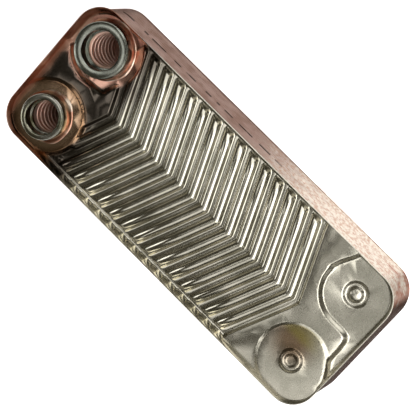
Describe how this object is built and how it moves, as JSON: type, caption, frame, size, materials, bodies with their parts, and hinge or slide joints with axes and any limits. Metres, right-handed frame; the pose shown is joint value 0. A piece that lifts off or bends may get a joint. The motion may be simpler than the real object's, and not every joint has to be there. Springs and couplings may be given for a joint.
{
  "type": "plate heat exchanger",
  "caption": "Brazed plate heat exchanger: nested herringbone plates under a rimmed front cover, with a large and a small port ring on the front and flush ports on the back.",
  "frame": {"origin": "middle of the flat back face of the back cover plate", "axes": "+Z out of the front, along the two front port rings; +Y along the length, towards the front port rings; +X towards the large port ring"},
  "size_m": [0.073, 0.1886, 0.0404],
  "materials": {
    "pressed_stainless": "pressed polished stainless sheet, glossy, dark heat tint",
    "stained_stainless": "furnace-brazed stainless skirt, satin, stained pink-brown by copper",
    "back_stainless": "furnace-brazed stainless sheet, satin",
    "turned_steel": "turned steel, satin, fine turning marks",
    "copper_braze": "solidified copper braze, smooth and slightly glossy"
  },
  "bodies": {
    "root": {"front_cover_plate": "pressed_stainless", "channel_plate_01": "stained_stainless", "channel_plate_02": "stained_stainless", "channel_plate_03": "stained_stainless", "channel_plate_04": "stained_stainless", "channel_plate_05": "stained_stainless", "channel_plate_06": "stained_stainless", "channel_plate_07": "stained_stainless", "channel_plate_08": "stained_stainless", "channel_plate_09": "stained_stainless", "channel_plate_10": "stained_stainless", "channel_plate_11": "stained_stainless", "channel_plate_12": "stained_stainless", "channel_plate_13": "stained_stainless", "channel_plate_14": "stained_stainless", "back_cover_plate": "back_stainless", "port_ring_large": "turned_steel", "port_ring_small": "turned_steel", "braze_fillet_large": "copper_braze", "braze_fillet_small": "copper_braze", "rear_seat_ring_right": "turned_steel", "rear_seat_ring_left": "turned_steel"}
  },
  "joints": []
}
